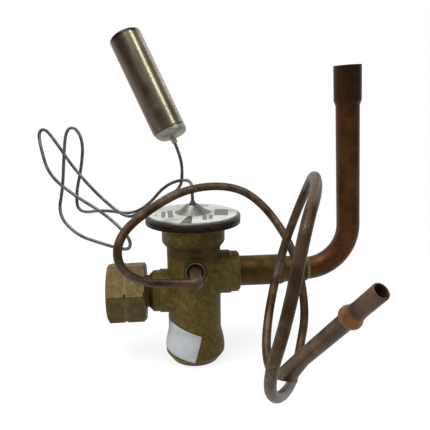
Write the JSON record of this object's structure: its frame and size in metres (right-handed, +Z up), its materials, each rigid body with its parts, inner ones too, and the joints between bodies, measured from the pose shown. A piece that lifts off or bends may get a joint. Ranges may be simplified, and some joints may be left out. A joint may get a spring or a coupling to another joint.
{
  "type": "refrigerant expansion valve with remote sensing bulb",
  "caption": "Refrigerant expansion valve: turned brass body, swivel inlet nut, formed copper outlet tube, round power head with capillary and sensing bulb, looped equalizer tube.",
  "frame": {"origin": "centre of the body's flat base", "axes": "+Z up the body's axis to the power head, +X to the outlet, -X to the inlet nut, -Y to the equalizer port"},
  "size_m": [0.1341, 0.1226, 0.1392],
  "materials": {
    "body_brass": "blasted, dull olive brown",
    "nut_brass": "forged, dull, worn corners",
    "inner_brass": "turned, bright",
    "copper": "dark patina on copper tube",
    "copper_bright": "copper, rubbed on the bead",
    "braze": "brazing alloy",
    "head_steel": "satin stainless, brown at the weld",
    "bulb_steel": "drawn stainless with stains",
    "capillary_steel": "drawn stainless capillary",
    "spring_steel": "bright wire",
    "label_paper": "plain printed paper with grey bars",
    "seal_rubber": "black elastomer"
  },
  "bodies": {
    "valve": {"valve_body": "body_brass", "inlet_tail": "body_brass", "inlet_strainer": "inner_brass", "orifice_seat": "inner_brass", "gland_plug": "body_brass", "outlet_stub": "copper", "outlet_braze": "braze", "outlet_tube": "copper", "head_lower_shell": "head_steel", "head_upper_shell": "head_steel", "diaphragm": "head_steel", "head_label": "label_paper", "capillary_collar": "capillary_steel", "capillary_tube": "capillary_steel", "sensing_bulb": "bulb_steel", "equalizer_tube": "copper", "equalizer_stub": "copper"},
    "nut": {"inlet_nut": "nut_brass"},
    "needle_train": {"buffer_plate": "spring_steel", "push_rod": "spring_steel", "valve_pin": "spring_steel", "pin_carrier": "inner_brass"},
    "stem": {"adjusting_stem": "inner_brass", "stem_ring": "seal_rubber"},
    "seat": {"spring_seat": "inner_brass", "superheat_spring": "spring_steel"}
  },
  "joints": [
    {"name": "nut_swivel", "type": "hinge", "parent": "valve", "child": "nut", "pos_m": [-0.028, 0, 0.0305], "axis": [-1, 0, 0], "continuous": true},
    {"name": "pin_lift", "type": "slide", "parent": "valve", "child": "needle_train", "axis": [0, 0, -1], "range_m": [0, 0.0008], "stiffness_N_per_m": 200, "springref_m": -0.001, "deforming": ["superheat_spring"]},
    {"name": "stem_turn", "type": "hinge", "parent": "valve", "child": "stem", "pos_m": [0, 0, 0.0065], "axis": [0, 0, 1], "range_deg": [-720, 720]},
    {"name": "seat_rise", "type": "slide", "parent": "valve", "child": "seat", "axis": [0, 0, 1], "range_m": [-0.0015, 0.0015]}
  ],
  "couplings": [
    {"joint": "stem_turn", "follows": "seat_rise", "rad_per_m": 8377.6}
  ]
}
